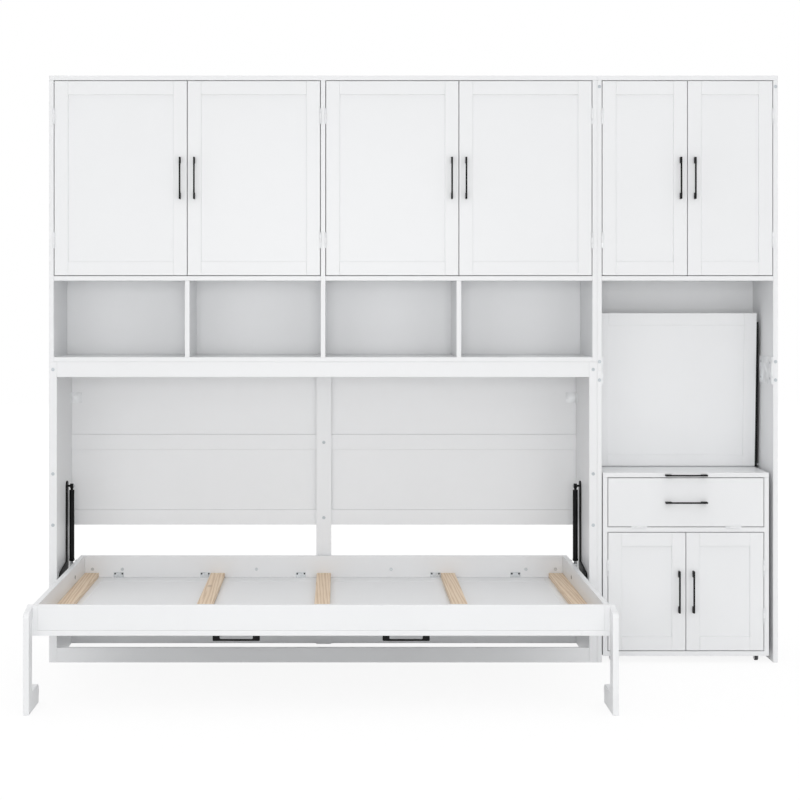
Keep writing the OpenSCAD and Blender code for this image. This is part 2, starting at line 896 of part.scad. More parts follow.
module trolley_hinge_leaves() {
    place() color(steel) {
        for (i = [0, 1])
            door_leaves(hinge_x(trolley_door_x(i), trolley_door_w, hand_of(i)),
                        trolley_door_z, trolley_door_h, hand_of(i), -1);
        flap_leaves(-1);
        for (x = caster_x, y = caster_y) caster_fork(x, y);
    }
}

caster_x = [trolley_x0 + caster_in, trolley_x0 + trolley_w - caster_in];
caster_y = [caster_in, trolley_d - caster_in];

module caster_fork(x, y) {
    cheek = 14;
    out = wheel_w / 2 + SEAT;
    translate([x, y, 0]) {
        translate([-16, -14, caster_h - 1.5]) cube([32, 28, 1.5]);
        for (side = [-1, 1])
            translate([side > 0 ? out : -out - SHEET_T, -cheek / 2, wheel_r - 5])
                cube([SHEET_T, cheek, caster_h - wheel_r + 4]);
        bar_x(-out - SHEET_T, 0, wheel_r, 2 * (out + SHEET_T), axle_r);
    }
}

module caster_wheel(x, y) {
    difference() {
        bar_x(x - wheel_w / 2, y, wheel_r, wheel_w, wheel_r);
        bar_x(x - wheel_w / 2 - EPS, y, wheel_r, wheel_w + 2 * EPS,
              axle_r + run_fit);
    }
}

module front_casters() {
    place() color(black) for (x = caster_x) caster_wheel(x, caster_y[0]);
}

module rear_casters() {
    place() color(black) for (x = caster_x) caster_wheel(x, caster_y[1]);
}

// ---------------------------------------------------------------- drawing

bay_sides();
bay_front_rails();
bay_back_frame();
bay_back_panels();
hutch_sides();
hutch_top();
hutch_mid_shelf();
hutch_bottom();
hutch_dividers();
hutch_back();
tower_left_side();
tower_right_side();
tower_top();
tower_mid_shelf();
tower_back();
joining_plates();
screw_caps();
case_hinge_leaves();
desk_pivot_pins();
lift_brackets();
bed_side_boards();
bed_front_rail();
bed_back_rail();
bed_base();
bed_slats();
bed_handles();
bed_lift_plates();
bed_fittings();
left_leg();
right_leg();
left_strut_body();
left_strut_rod();
right_strut_body();
right_strut_rod();
hutch_door(0);  // hutch_door_1
hutch_door(1);  // hutch_door_2
hutch_door(2);  // hutch_door_3
hutch_door(3);  // hutch_door_4
tower_door(0);  // tower_door_1
tower_door(1);  // tower_door_2
hutch_handle(0);  // hutch_handle_1
hutch_handle(1);  // hutch_handle_2
hutch_handle(2);  // hutch_handle_3
hutch_handle(3);  // hutch_handle_4
tower_handle(0);  // tower_handle_1
tower_handle(1);  // tower_handle_2
desk_leaf();
desk_leaf_channel();
trolley_case();
trolley_top();
trolley_hinge_leaves();
trolley_pull();
trolley_door(0);  // trolley_door_left
trolley_door(1);  // trolley_door_right
trolley_flap();
trolley_handle(0);  // trolley_handle_left
trolley_handle(1);  // trolley_handle_right
flap_handle();
front_casters();
rear_casters();
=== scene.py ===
"""Looks of a white wall bed that lowers sideways out of a cabinet, with a hutch above it and a desk tower
beside it. Every board, door, handle and fitting is worked out from the boxes and joints of the frame."""

import json
import math

import bmesh
import bpy
import numpy as np
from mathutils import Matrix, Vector


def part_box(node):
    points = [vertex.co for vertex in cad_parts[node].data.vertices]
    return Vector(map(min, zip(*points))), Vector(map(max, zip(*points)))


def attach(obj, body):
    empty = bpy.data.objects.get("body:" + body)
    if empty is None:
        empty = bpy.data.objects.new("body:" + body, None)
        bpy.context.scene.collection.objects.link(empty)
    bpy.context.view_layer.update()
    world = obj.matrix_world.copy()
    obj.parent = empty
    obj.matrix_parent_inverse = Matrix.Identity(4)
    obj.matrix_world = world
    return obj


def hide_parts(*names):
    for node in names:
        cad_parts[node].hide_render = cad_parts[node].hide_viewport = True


MM = 0.001
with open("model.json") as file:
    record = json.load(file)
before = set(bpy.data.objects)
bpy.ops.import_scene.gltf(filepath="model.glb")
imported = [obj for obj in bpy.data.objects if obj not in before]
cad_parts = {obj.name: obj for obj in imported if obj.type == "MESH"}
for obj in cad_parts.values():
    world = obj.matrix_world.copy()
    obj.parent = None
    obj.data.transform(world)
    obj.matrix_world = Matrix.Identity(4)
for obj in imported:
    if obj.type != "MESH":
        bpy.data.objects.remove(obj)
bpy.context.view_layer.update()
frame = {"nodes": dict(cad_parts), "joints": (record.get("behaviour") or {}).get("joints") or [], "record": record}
NODES = frame["nodes"]
JOINTS = {joint["name"]: joint for joint in frame["joints"]}
BODY_OF = {node: body for body, members in frame["record"]["behaviour"]["bodies"].items()
           for node in members}
SLOT_OF = {row["node"]: row["material_slot"] for row in frame["record"]["subparts"]}
X, Y, Z = np.eye(3)

# Sizes of the joinery, in metres
EASE = 1.1 * MM             # rounding of the arrises of painted boards
BOARD = 18 * MM             # thickness of a door
DOOR_GAP = 2.5 * MM
STILE = 52 * MM             # width of a door's frame
DOOR_STEP = 6 * MM          # depth of a door's panel behind its frame
TONGUE = 3 * MM             # edge of a panel in its frame's groove
HINGE_LENGTH = 60 * MM
HINGE_IN = 104 * MM         # door corner to the near end of its hinge
KNUCKLE_R = 3.5 * MM
KNUCKLE_BORE = 1.55 * MM
LEAF_PLATE = 1.1 * MM       # thickness of a hinge's plate
LEAF_PLAY = 0.15 * MM       # plate to the middle of the gap
HINGE_PLAY = 0.2 * MM       # between two knuckles
DESK_HALF = 10 * MM         # half the thickness of the desk leaf
DESK_RAIL = 48 * MM         # width of the desk leaf's frame
DESK_STEP = 5 * MM          # depth of the desk leaf's panel behind its frame
BASE_RAIL = 97 * MM         # width of the frame of the bed's base
BASE_STEP_OUT = 4 * MM      # depth of the base's panel below its frame, on the outer face
BASE_STEP_IN = 1.5 * MM     # the same on the face under the mattress
HANDLE_FOOT = 24 * MM       # length of a handle's foot
HANDLE_BAR = 6 * MM         # thickness of a handle's bar
ARRIS = 1.3                 # radius of a board's long arrises, over the easing of its ends


# ---------------------------------------------------------------- surfaces

def grid_faces(rings, around):
    """Quads between each ring of points and the next, closed around, with both end rings capped."""
    i, j = np.meshgrid(np.arange(rings - 1), np.arange(around), indexing="ij")
    k = (j + 1) % around
    quads = np.stack([i * around + j, i * around + k, (i + 1) * around + k, (i + 1) * around + j], -1)
    caps = [list(range(around))[::-1], list(range((rings - 1) * around, rings * around))]
    return quads.reshape(-1, 4).tolist() + caps


def outward(points, faces):
    """Turns the faces round if the closed surface's signed volume, summed over fans of triangles, is
    negative."""
    volume = 0.0
    for size in sorted({len(face) for face in faces}):
        corners = points[np.array([face for face in faces if len(face) == size])]
        fan = np.cross(corners[:, 1:-1] - corners[:, :1], corners[:, 2:] - corners[:, :1])
        volume += float((fan * corners[:, :1]).sum())
    return points, [face[::-1] for face in faces] if volume < 0 else faces


def inset(outline, depth):
    """The outline moved inwards: each corner slides along its mitre, the sum of its two edge normals over one
    plus their cosine."""
    step = np.roll(outline, -1, 0) - outline
    step /= np.linalg.norm(step, axis=1, keepdims=True)
    after = np.stack([-step[:, 1], step[:, 0]], -1)
    before = np.roll(after, 1, 0)
    mitre = (before + after) / (1 + (before * after).sum(-1, keepdims=True))
    return outline + depth * mitre


def rounded(corners, radii, steps=4):
    """A polygon, counter-clockwise, with each corner replaced by the arc of its radius that touches both
    edges."""
    corners = np.asarray(corners, float)
    radii = np.broadcast_to(radii, len(corners))
    points = []
    for p, before, after, r in zip(corners, np.roll(corners, 1, 0), np.roll(corners, -1, 0), radii):
        a = (before - p) / np.linalg.norm(before - p)
        b = (after - p) / np.linalg.norm(after - p)
        half = math.acos(np.clip(a @ b, -1, 1)) / 2
        middle = p + (a + b) / np.linalg.norm(a + b) * r / math.sin(half)
        first, last = p + a * r / math.tan(half) - middle, p + b * r / math.tan(half) - middle
        turn = math.atan2(first[0] * last[1] - first[1] * last[0], first @ last)
        t = math.atan2(first[1], first[0]) + np.linspace(0, turn, steps + 1)
        points.append(middle + r * np.stack([np.cos(t), np.sin(t)], -1))
    return np.concatenate(points)


def rectangle(u0, u1, v0, v1):
    return [(u0, v0), (u1, v0), (u1, v1), (u0, v1)]


def slab(outline, start, end, ease, origin=(0, 0, 0), axes=(X, Y, Z), steps=2):
    """The outline in the first two axes, carried along the third from start to end. Its ends are eased by a
    quarter circle: at the angle t the ring lies 1 - cos t in and is drawn in by 1 - sin t, times the
    easing."""
    t = np.linspace(0, math.pi / 2, steps + 1)
    depth = ease * (1 - np.sin(t))
    place = ease * (1 - np.cos(t))
    rings = [(start + s, d) for s, d in zip(place, depth)]
    rings += [(end - s, d) for s, d in zip(place[::-1], depth[::-1])]
    u, v, w = (np.asarray(axis, float) for axis in axes)
    points = []
    for s, d in rings:
        flat = inset(outline, d)
        points.append(np.asarray(origin) + flat[:, :1] * u + flat[:, 1:] * v + s * w)
    return outward(np.concatenate(points), grid_faces(len(rings), len(outline)))


def board(low, high, ease=EASE):
    """A board between two corners, carried along its longest side, with every arris eased."""
    low, high = np.asarray(low, float), np.asarray(high, float)
    size = high - low
    along = int(np.argmax(size))
    i, j = [k for k in range(3) if k != along]
    ease = min(ease, size.min() / 4)
    outline = rounded(rectangle(low[i], high[i], low[j], high[j]), ARRIS * ease, 2)
    return slab(outline, low[along], high[along], ease, axes=(np.eye(3)[i], np.eye(3)[j], np.eye(3)[along]))


def framed(low, high, width, steps, across, up, thin, ease=EASE):
    """A frame of two stiles and two rails round a thinner panel, which lies back by steps from both faces.
    across, up and thin are the numbers of the axes."""
    low, high = np.asarray(low, float), np.asarray(high, float)

    def part(a0, a1, u0, u1, t0, t1):
        corners = np.zeros((2, 3))
        corners[:, across] = a0, a1
        corners[:, up] = u0, u1
        corners[:, thin] = t0, t1
        return board(corners[0], corners[1], ease)

    a0, a1, u0, u1, t0, t1 = low[across], high[across], low[up], high[up], low[thin], high[thin]
    inner0, inner1 = a0 + width, a1 - width
    return [part(a0, inner0, u0, u1, t0, t1), part(inner1, a1, u0, u1, t0, t1),
            part(inner0, inner1, u0, u0 + width, t0, t1), part(inner0, inner1, u1 - width, u1, t0, t1),
            part(inner0 - TONGUE, inner1 + TONGUE, u0 + width - TONGUE, u1 - width + TONGUE,
                 t0 + steps[0], t1 - steps[1])]


def turned(profile, centre, axes, around=32, ring=False):
    """A profile of (radius, distance) turned about the third axis through the centre. A ring's profile closes
    on itself, and any other is capped at both ends."""
    profile = np.asarray(profile, float)
    t = np.linspace(0, 2 * math.pi, around, endpoint=False)
    u, v, w = (np.asarray(axis, float) for axis in axes)
    circle = np.cos(t)[:, None] * u + np.sin(t)[:, None] * v
    points = (np.asarray(centre) + profile[:, 0, None, None] * circle + profile[:, 1, None, None] * w)
    faces = grid_faces(len(profile), around)
    if ring:
        last = (len(profile) - 1) * around
        j = np.arange(around)
        k = (j + 1) % around
        faces = faces[:-2] + np.stack([last + j, last + k, k, j], -1).tolist()
    return outward(points.reshape(-1, 3), faces)


def dome(centre, direction, radius, height, around=24):
    """A screw head or cap: a flat rim, a rounded shoulder and a shallow dish in its middle."""
    w = np.asarray(direction, float)
    u = X if abs(w @ X) < 0.5 else Y
    v = np.cross(w, u)
    profile = [(radius, 0), (radius, 0.45 * height), (0.93 * radius, 0.8 * height), (0.8 * radius, height),
               (0.42 * radius, height), (0.36 * radius, 0.7 * height), (0.04 * radius, 0.62 * height)]
    return turned(profile, centre, (u, v, w), around)


# ---------------------------------------------------------------- the frame's solids

def merged(node):
    """The node's triangles as one closed mesh, with flat faces joined."""
    mesh = bmesh.new()
    mesh.from_mesh(NODES[node].data)
    bmesh.ops.remove_doubles(mesh, verts=mesh.verts, dist=1e-6)
    return mesh


def solids(node):
    """Lowest and highest corner of each separate solid in a node, from left to right and upwards."""
    mesh = merged(node)
    seen, boxes = set(), []
    for vertex in mesh.verts:
        if vertex.index in seen:
            continue
        seen.add(vertex.index)
        waiting, island = [vertex], []
        while waiting:
            at = waiting.pop()
            island.append(tuple(at.co))
            for edge in at.link_edges:
                other = edge.other_vert(at)
                if other.index not in seen:
                    seen.add(other.index)
                    waiting.append(other)
        points = np.array(island)
        boxes.append((points.min(0), points.max(0)))
    mesh.free()
    return sorted(boxes, key=lambda box: (round(float(box[0][0]), 4), round(float(box[0][2]), 4)))


def corners_of(node):
    low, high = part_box(node)
    return np.array(low), np.array(high)


# ---------------------------------------------------------------- materials

def add_node(tree, kind, values=(), **settings):
    """A node with its settings, and its inputs given as values or as other nodes' outputs."""
    new = tree.nodes.new(kind)
    for key, value in settings.items():
        setattr(new, key, value)
    for socket, value in dict(values).items():
        if isinstance(value, bpy.types.NodeSocket):
            tree.links.new(value, new.inputs[socket])
        else:
            new.inputs[socket].default_value = value
    return new


def ranged(tree, value, low, high, out_low, out_high):
    """The value moved in a straight line from the first range to the second, and held at its ends."""
    ends = {0: value, 1: low, 2: high, 3: out_low, 4: out_high}
    return add_node(tree, "ShaderNodeMapRange", ends).outputs[0]


class Finish:
    """A material's node graph, with one short method for each kind of node that the finishes share."""

    def __init__(self, name, **sockets):
        self.material = bpy.data.materials.new(name)
        self.material.use_nodes = True
        self.tree = self.material.node_tree
        self.shader = self.tree.nodes["Principled BSDF"]
        for socket, value in sockets.items():
            self.shader.inputs[socket.replace("_", " ")].default_value = value
        self.object = self.node("ShaderNodeTexCoord").outputs["Object"]

    def node(self, kind, values=(), **settings):
        return add_node(self.tree, kind, values, **settings)

    def stretched(self, scale, turn=(0, 0, 0)):
        values = {"Vector": self.object, "Scale": scale, "Rotation": turn}
        return self.node("ShaderNodeMapping", values).outputs[0]

    def noise(self, vector, scale, detail=3):
        values = {"Vector": vector, "Scale": scale, "Detail": detail}
        return self.node("ShaderNodeTexNoise", values).outputs[0]

    def cells(self, vector, scale):
        """The distance to the nearest of many scattered points."""
        return self.node("ShaderNodeTexVoronoi", {"Vector": vector, "Scale": scale}).outputs["Distance"]

    def between(self, value, low, high, out_low=0.0, out_high=1.0):
        return ranged(self.tree, value, low, high, out_low, out_high)

    def colours(self, value, stops):
        ramp = self.node("ShaderNodeValToRGB", {0: value})
        bands = ramp.color_ramp.elements
        while len(bands) < len(stops):
            bands.new(0.5)
        for band, (at, colour) in zip(bands, stops):
            band.position = at
            band.color = (*colour, 1)
        return ramp.outputs[0]

    def mix(self, amount, first, second):
        return self.node("ShaderNodeMix", {0: amount, 6: first, 7: second}, data_type="RGBA").outputs[2]

    def bump(self, height, strength, distance, under=None):
        values = {"Height": height, "Strength": strength, "Distance": distance}
        if under is not None:
            values["Normal"] = under
        return self.node("ShaderNodeBump", values).outputs[0]

    def wear(self, socket, value):
        self.tree.links.new(value, self.shader.inputs[socket])


def satin_white(name, tone, roughness, waviness=0.03):
    """Sprayed satin paint: faint clouds of tone, a fine orange-peel stipple and a slow waviness of the
    board."""
    finish = Finish(name, Coat_Weight=0.08, Coat_Roughness=0.18)
    clouds = finish.noise(finish.object, 2.4, 4)
    specks = finish.noise(finish.object, 260, 2)
    low = tuple(channel * 0.975 for channel in tone)
    paint = finish.colours(clouds, [(0.35, low), (0.65, tone)])
    dust = finish.between(specks, 0.62, 0.8)
    shade = tuple(channel * 0.93 for channel in tone) + (1,)
    finish.wear("Base Color", finish.mix(finish.between(dust, 0, 1, 0, 0.25), paint, shade))
    finish.wear("Roughness", finish.between(clouds, 0.3, 0.7, roughness - 0.05, roughness + 0.06))
    peel = finish.bump(finish.noise(finish.object, 620, 2), 0.05, 0.0004)
    finish.wear("Normal", finish.bump(finish.noise(finish.object, 7, 2), waviness, 0.004, peel))
    return finish.material


def planed_pine():
    """Bare pine: growth rings stretched along the slat, dark late wood, fine pores and a knot here and
    there."""
    finish = Finish("planed_pine", Roughness=0.62, Coat_Weight=0.04, Coat_Roughness=0.4)
    drawn = finish.stretched((30, 0.8, 36), (0.02, 0.01, 0.02))
    rings = finish.node("ShaderNodeTexWave", {"Vector": drawn, "Scale": 1.7, "Distortion": 5.5, "Detail": 3.0,
                                              "Detail Scale": 1.3}, wave_type="BANDS",
                        bands_direction="DIAGONAL").outputs["Fac"]
    wood = finish.colours(rings, [(0.0, (0.65, 0.485, 0.335)), (0.22, (0.735, 0.565, 0.405)),
                                  (0.55, (0.785, 0.62, 0.455)), (1.0, (0.82, 0.66, 0.495))])
    pores = finish.noise(finish.stretched((900, 16, 900)), 1.0, 3)
    dark_pores = finish.between(pores, 0.56, 0.78, 0, 0.25)
    grained = finish.mix(dark_pores, wood, (0.42, 0.3, 0.2, 1))
    spots = finish.cells(finish.stretched((7, 2.6, 7)), 1.0)
    knots = finish.between(spots, 0.03, 0.09, 0.6, 0.0)
    finish.wear("Base Color", finish.mix(knots, grained, (0.33, 0.22, 0.14, 1)))
    fibres = finish.bump(pores, 0.22, 0.0004)
    finish.wear("Normal", finish.bump(rings, 0.1, 0.0006, fibres))
    finish.wear("Roughness", finish.between(rings, 0, 1, 0.7, 0.54))
    return finish.material


def powder_coat(name, tone, roughness, gloss):
    """Powder-coated steel: a fine pebbled skin with slightly polished patches."""
    finish = Finish(name, Specular_IOR_Level=gloss)
    pebbles = finish.noise(finish.object, 1500, 2)
    patches = finish.noise(finish.object, 22, 4)
    light = tuple(min(1.0, channel * 1.35) for channel in tone)
    finish.wear("Base Color", finish.colours(patches, [(0.4, tone), (0.72, light)]))
    finish.wear("Roughness", finish.between(patches, 0.3, 0.7, roughness + 0.06, roughness - 0.06))
    finish.wear("Normal", finish.bump(pebbles, 0.16, 0.0002))
    return finish.material


def zinc_steel():
    """Zinc-plated steel: fine drawn lines, cloudy spangle and a soft gloss."""
    finish = Finish("zinc_steel", Metallic=1.0)
    spangle = finish.cells(finish.object, 320.0)
    lines = finish.noise(finish.stretched((2400, 2400, 60)), 1.0, 2)
    finish.wear("Base Color", finish.colours(spangle, [(0.1, (0.42, 0.44, 0.46)), (0.7, (0.56, 0.58, 0.59))]))
    finish.wear("Roughness", finish.between(lines, 0.3, 0.7, 0.3, 0.46))
    finish.wear("Normal", finish.bump(lines, 0.12, 0.0001))
    return finish.material


def moulded_plastic(name, tone, roughness):
    """Moulded plastic: spark-eroded grain and a slight drift of tone."""
    finish = Finish(name)
    drift = finish.noise(finish.object, 60, 3)
    low = tuple(channel * 0.86 for channel in tone)
    finish.wear("Base Color", finish.colours(drift, [(0.35, low), (0.65, tone)]))
    finish.wear("Roughness", finish.between(drift, 0.3, 0.7, roughness - 0.06, roughness + 0.08))
    finish.wear("Normal", finish.bump(finish.noise(finish.object, 1900, 2), 0.2, 0.0001))
    return finish.material


WHITE = (0.82, 0.827, 0.837)
FINISHES = {
    "white_board": satin_white("satin_white", WHITE, 0.42),
    "pine": planed_pine(),
    "black_metal": powder_coat("black_powder_coat", (0.005, 0.005, 0.0055), 0.5, 0.12),
    "white_metal": powder_coat("white_stove_enamel", (0.7, 0.71, 0.72), 0.36, 0.22),
    "bright_steel": zinc_steel(),
    "grey_cap": moulded_plastic("grey_plastic", (0.56, 0.6, 0.63), 0.45),
    "wheel_plastic": moulded_plastic("black_plastic", (0.03, 0.03, 0.032), 0.5),
}
GLOSSY_BASE = satin_white("glossy_white", WHITE, 0.38, 0.004)


# ---------------------------------------------------------------- making pieces

def finished(piece, body, slot, material=None):
    """Gives a piece its finish, its smooth shading and the body it moves with."""
    piece.data.materials.append(material or FINISHES[slot])
    piece.data.polygons.foreach_set("use_smooth", np.ones(len(piece.data.polygons), bool))
    normals = piece.modifiers.new("normals", "WEIGHTED_NORMAL")
    normals.weight = 80
    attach(piece, body)
    return piece


def made(name, parts, body, slot, material=None, stands_for=()):
    """Joins closed surfaces into one mesh object and puts it on its body."""
    points, faces, count = [], [], 0
    for part_points, part_faces in parts:
        points.append(part_points)
        faces += [[index + count for index in face] for face in part_faces]
        count += len(part_points)
    mesh = bpy.data.meshes.new(name)
    mesh.from_pydata(np.concatenate(points).tolist(), [], faces)
    piece = bpy.data.objects.new(name, mesh)
    bpy.context.scene.collection.objects.link(piece)
    finished(piece, body, slot, material)
    if stands_for:
        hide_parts(*stands_for)
    return piece


def dress(node, parts, material=None):
    """A new piece in place of one node."""
    return made(node + "_dressed", parts, BODY_OF[node], SLOT_OF[node], material, (node,))


def dress_eased(node, ease, material=None):
    """The node's own solid with flat faces joined and its arrises rounded by a bevel."""
    mesh = merged(node)
    flat, sharp = math.radians(0.5), math.radians(40)
    bmesh.ops.dissolve_limit(mesh, angle_limit=flat, verts=mesh.verts, edges=mesh.edges)
    data = bpy.data.meshes.new(node + "_eased")
    mesh.to_mesh(data)
    mesh.free()
    piece = bpy.data.objects.new(node + "_eased", data)
    bpy.context.scene.collection.objects.link(piece)
    bevel = piece.modifiers.new("arrises", "BEVEL")
    bevel.width = ease
    bevel.segments = 2
    bevel.limit_method = "ANGLE"
    bevel.angle_limit = sharp
    finished(piece, BODY_OF[node], SLOT_OF[node], material)
    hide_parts(node)
    return piece


# ---------------------------------------------------------------- case

PLAIN_BOARDS = ("bay_sides", "bay_front_rails", "bay_back_panels", "hutch_sides", "hutch_top",
                "hutch_mid_shelf", "hutch_bottom", "hutch_dividers", "hutch_back", "tower_top",
                "tower_mid_shelf", "tower_back", "bed_front_rail", "bed_back_rail", "bed_slats",
                "trolley_top")


def plain_boards():
    for node in PLAIN_BOARDS:
        dress(node, [board(low, high) for low, high in solids(node)])


def tower_sides():
    """Each side is two boards that meet at the seam, behind the middle of the joining plates."""
    above_angles = 80 * MM      # the corner angles in the same node are lower than this
    plates = [box for box in solids("joining_plates") if box[1][2] - box[0][2] > above_angles]
    seam = float((plates[0][0][2] + plates[0][1][2]) / 2)
    for node in ("tower_left_side", "tower_right_side"):
        low, high = corners_of(node)
        dress(node, [board(low, (high[0], high[1], seam)), board((low[0], low[1], seam), high)])
    return plates, seam


def joining_screws(plates, seam):
    """Four pan-head screws in each joining plate, two above the seam and two below."""
    from_edge, from_seam = 22 * MM, 30 * MM
    head_r, head_t = 4.5 * MM, 1.6 * MM
    heads = []
    middle = sum(float(low[0] + high[0]) / 2 for low, high in plates) / len(plates)
    for low, high in plates:
        inner = high[0] if low[0] < middle else low[0]
        direction = X if low[0] < middle else -X
        for y in (low[1] + from_edge, high[1] - from_edge):
            for z in (seam - from_seam, seam + from_seam):
                heads.append(dome((inner, y, z), direction, head_r, head_t))
    made("joining_plate_screws", heads, "cabinet", "bright_steel")


def caps():
    heads = []
    for low, high in solids("screw_caps"):
        middle = (low + high) / 2
        heads.append(dome((middle[0], high[1], middle[2]), -Y, (high[0] - low[0]) / 2, high[1] - low[1]))
    dress("screw_caps", heads)


# ---------------------------------------------------------------- doors, flap and desk leaf

def hinge_half(axis_point, along, side):
    """A door's half of a butt hinge: its middle knuckle, the plate in the gap and the web between them.
    along is the hinge's own axis and side points from it to the door."""
    third = HINGE_LENGTH / 3
    reach = KNUCKLE_R + 0.1 * MM
    web_foot = 1.7 * MM         # the web starts inside the knuckle's wall
    axes = (np.asarray(side, float), Y, np.asarray(along, float))
    half = third / 2 - HINGE_PLAY
    chamfer = 0.3 * MM
    knuckle = [(KNUCKLE_BORE, -half), (KNUCKLE_R - chamfer, -half), (KNUCKLE_R, chamfer - half),
               (KNUCKLE_R, half - chamfer), (KNUCKLE_R - chamfer, half), (KNUCKLE_BORE, half)]
    ease = 0.15 * MM
    inner, outer = LEAF_PLAY, LEAF_PLAY + LEAF_PLATE
    plate = rounded(rectangle(inner, outer, reach, reach + 0.7 * BOARD), ARRIS * ease, 2)
    web = rounded(rectangle(inner, outer, web_foot, reach + ease), ARRIS * ease, 2)
    return [turned(knuckle, axis_point, axes, 24, ring=True),
            slab(plate, -HINGE_LENGTH / 2, HINGE_LENGTH / 2, ease, axis_point, axes),
            slab(web, -half, half, ease, axis_point, axes)]


def cupboard_door(node, joint):
    """A frame-and-panel door on two butt hinges. The joint gives its hinge axis."""
    low, high = corners_of(node)
    axis = np.array(JOINTS[joint]["pos_m"])
    hinged_left = abs(axis[0] - low[0]) < abs(axis[0] - high[0])
    side = X if hinged_left else -X
    edge = axis[0] + side[0] * DOOR_GAP / 2
    x0, x1 = (edge, high[0]) if hinged_left else (low[0], edge)
    front = high[1] - BOARD
    parts = framed((x0, front, low[2]), (x1, high[1], high[2]), STILE, (DOOR_STEP, DOOR_STEP), 0, 2, 1)
    from_corner = HINGE_IN + HINGE_LENGTH / 2
    for z in (low[2] + from_corner, high[2] - from_corner):
        parts += hinge_half((axis[0], axis[1], z), Z, side)
    dress(node, parts)


def drop_flap():
    """A plain board that opens downwards on two hinges along its lower edge."""
    low, high = corners_of("trolley_flap")
    axis = np.array(JOINTS["trolley_flap_fold"]["pos_m"])
    bottom = axis[2] + DOOR_GAP / 2
    parts = [board((low[0], high[1] - BOARD, bottom), high)]
    for first, last in solids("trolley_hinge_leaves"):
        middle = (first + last) / 2
        lies_along = last[0] - first[0] > 0.9 * HINGE_LENGTH
        if lies_along and abs(middle[2] - axis[2]) < 4 * MM:
            parts += hinge_half((middle[0], axis[1], axis[2]), X, Z)
    dress("trolley_flap", parts)


def desk_leaf():
    """The leaf leans on its two pins. Its frame's lower edge is a half circle about the pins' axis."""
    low, high = corners_of("desk_leaf")
    pin = np.array(JOINTS["desk_leaf_fold"]["pos_m"])
    lean = math.radians(90 - JOINTS["desk_leaf_fold"]["range_deg"][1])
    thick = np.array((0, math.cos(lean), math.sin(lean)))
    up = np.array((0, -math.sin(lean), math.cos(lean)))
    half = DESK_HALF
    tall = (high[2] - pin[2] - half * math.sin(lean)) / math.cos(lean)
    origin = (0, pin[1], pin[2])
    axes = (thick, up, X)

    def bar(v0, v1, x0, x1, radii, front=0.0):
        outline = rounded(rectangle(front - half, half, v0, v1), radii, 6)
        return slab(outline, x0, x1, EASE, origin, axes)

    square = ARRIS * EASE
    round_foot = (0.98 * half, 0.98 * half, square, square)
    left, right = low[0] + DESK_RAIL, high[0] - DESK_RAIL
    panel_foot, panel_top = DESK_RAIL - half, tall - DESK_RAIL
    dress("desk_leaf", [
        bar(-half, tall, low[0], left, round_foot),
        bar(-half, tall, right, high[0], round_foot),
        bar(-half, panel_foot, left, right, round_foot),
        bar(panel_top, tall, left, right, square),
        bar(panel_foot - TONGUE, panel_top + TONGUE, left - TONGUE, right + TONGUE, square, DESK_STEP)])


# ---------------------------------------------------------------- handles

def pull(low, high, out):
    """A flat bar handle on two broad feet: one bridge-shaped outline with rounded bends, carried across its
    width. out points away from what it is screwed to."""
    size = high - low
    along = int(np.argmax(size))
    outwards = int(np.argmax(np.abs(out)))
    across = 3 - along - outwards
    reach, half = size[outwards], size[along] / 2
    inner, under = half - HANDLE_FOOT, reach - HANDLE_BAR
    bridge = [(-half, 0), (-inner, 0), (-inner, under), (inner, under),
              (inner, 0), (half, 0), (half, reach), (-half, reach)]
    foot_r, bend_r = 0.8 * MM, 3.5 * MM
    radii = (foot_r, foot_r, bend_r, bend_r) * 2
    middle = (low + high) / 2
    base = middle.copy()
    base[outwards] = low[outwards] if out[outwards] > 0 else high[outwards]
    axes = (np.eye(3)[along], np.asarray(out, float), np.eye(3)[across])
    outline = rounded(bridge, radii, 5)
    return slab(outline, -size[across] / 2, size[across] / 2, 0.7 * MM, base, axes)


def handles():
    fronts = [node for node in NODES if "handle" in node and node != "bed_handles"] + ["trolley_pull"]
    for node in fronts:
        dress(node, [pull(*corners_of(node), -Y)])
    dress("bed_handles", [pull(low, high, -Z) for low, high in solids("bed_handles")])


# ---------------------------------------------------------------- bed

def bed_base():
    """The bed's base: a frame with a panel that lies back on the outer face and a little on the inner one."""
    low, high = corners_of("bed_base")
    dress("bed_base", framed(low, high, BASE_RAIL, (BASE_STEP_OUT, BASE_STEP_IN), 0, 1, 2), GLOSSY_BASE)


def bed_plate_screws():
    """Two small dark screws in the upper corners of each plate that joins the back rail to the base."""
    narrowest, thickest = 30 * MM, 5 * MM       # tell a plate from the caps and bolts in its node
    head_r, head_t = 3.4 * MM, 1.4 * MM
    heads = []
    for low, high in solids("bed_fittings"):
        size = high - low
        if size[0] > narrowest and size[1] < thickest:
            for share in (0.14, 0.86):
                at = (low[0] + share * size[0], low[1], low[2] + 0.72 * size[2])
                heads.append(dome(at, -Y, head_r, head_t))
    made("bed_plate_screws", heads, "bed", "black_metal")


